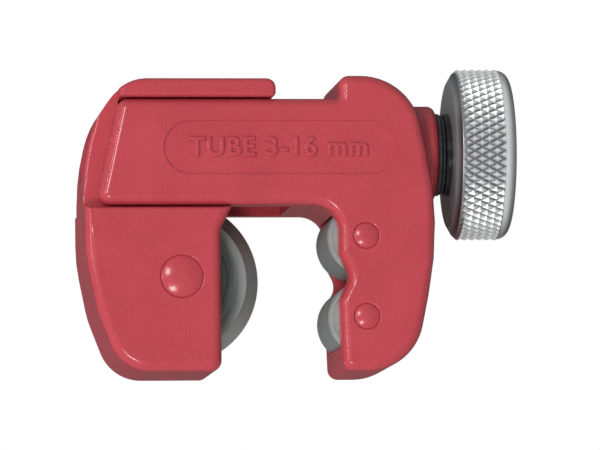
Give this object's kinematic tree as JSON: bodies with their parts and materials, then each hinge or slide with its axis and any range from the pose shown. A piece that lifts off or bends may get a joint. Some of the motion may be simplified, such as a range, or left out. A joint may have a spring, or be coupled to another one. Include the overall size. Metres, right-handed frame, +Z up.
{
  "type": "pipe cutter",
  "caption": "Small screw-fed cutter for thin copper and brass pipe: a sliding jaw presses a cutting wheel against a pair of rollers when the knurled knob is turned",
  "frame": {"origin": "middle of the tool's length and thickness, on the surface that the feet of its two castings stand on", "axes": "+X from the jaw to the knob along the feed screw, +Y from the front face to the rear face along the wheel's axle, +Z up from the feet"},
  "size_m": [0.0496, 0.0198, 0.0354],
  "materials": {
    "painted_casting": "glossy red enamel on a die casting",
    "roller_steel": "turned steel, satin",
    "wheel_steel": "hardened and ground tool steel, dark satin",
    "screw_steel": "machined steel",
    "blackened_steel": "black oxide",
    "knob_nickel": "satin nickel plate over a diamond knurl",
    "nut_brass": "machined brass"
  },
  "bodies": {
    "frame": {"frame_casting": "painted_casting", "upper_roller_pin": "painted_casting", "lower_roller_pin": "painted_casting", "thrust_washer": "blackened_steel", "spring_washer": "blackened_steel"},
    "jaw": {"jaw_casting": "painted_casting", "wheel_axle": "painted_casting", "wheel_spacer_front": "wheel_steel", "wheel_spacer_rear": "wheel_steel", "feed_nut": "nut_brass"},
    "cutting_wheel": {"cutting_wheel": "wheel_steel"},
    "upper_roller": {"upper_roller": "roller_steel"},
    "lower_roller": {"lower_roller": "roller_steel"},
    "screw": {"feed_screw": "screw_steel", "screw_stop_ring": "blackened_steel", "knob_collar": "blackened_steel", "knob": "knob_nickel"}
  },
  "joints": [
    {"name": "knob_turn", "type": "hinge", "parent": "frame", "child": "screw", "pos_m": [0.02, 0, 0.0255], "axis": [-1, 0, 0], "range_deg": [-3600, 3240]},
    {"name": "jaw_slide", "type": "slide", "parent": "frame", "child": "jaw", "axis": [1, 0, 0], "range_m": [-0.008, 0.0072]},
    {"name": "wheel_spin", "type": "hinge", "parent": "jaw", "child": "cutting_wheel", "pos_m": [-0.01383, 0, 0.0108], "axis": [0, 1, 0], "continuous": true},
    {"name": "upper_roller_spin", "type": "hinge", "parent": "frame", "child": "upper_roller", "pos_m": [0.00728, 0, 0.0154], "axis": [0, 1, 0], "continuous": true},
    {"name": "lower_roller_spin", "type": "hinge", "parent": "frame", "child": "lower_roller", "pos_m": [0.00728, 0, 0.0062], "axis": [0, 1, 0], "continuous": true}
  ],
  "couplings": [
    {"joint": "knob_turn", "follows": "jaw_slide", "rad_per_m": 7853.9}
  ]
}
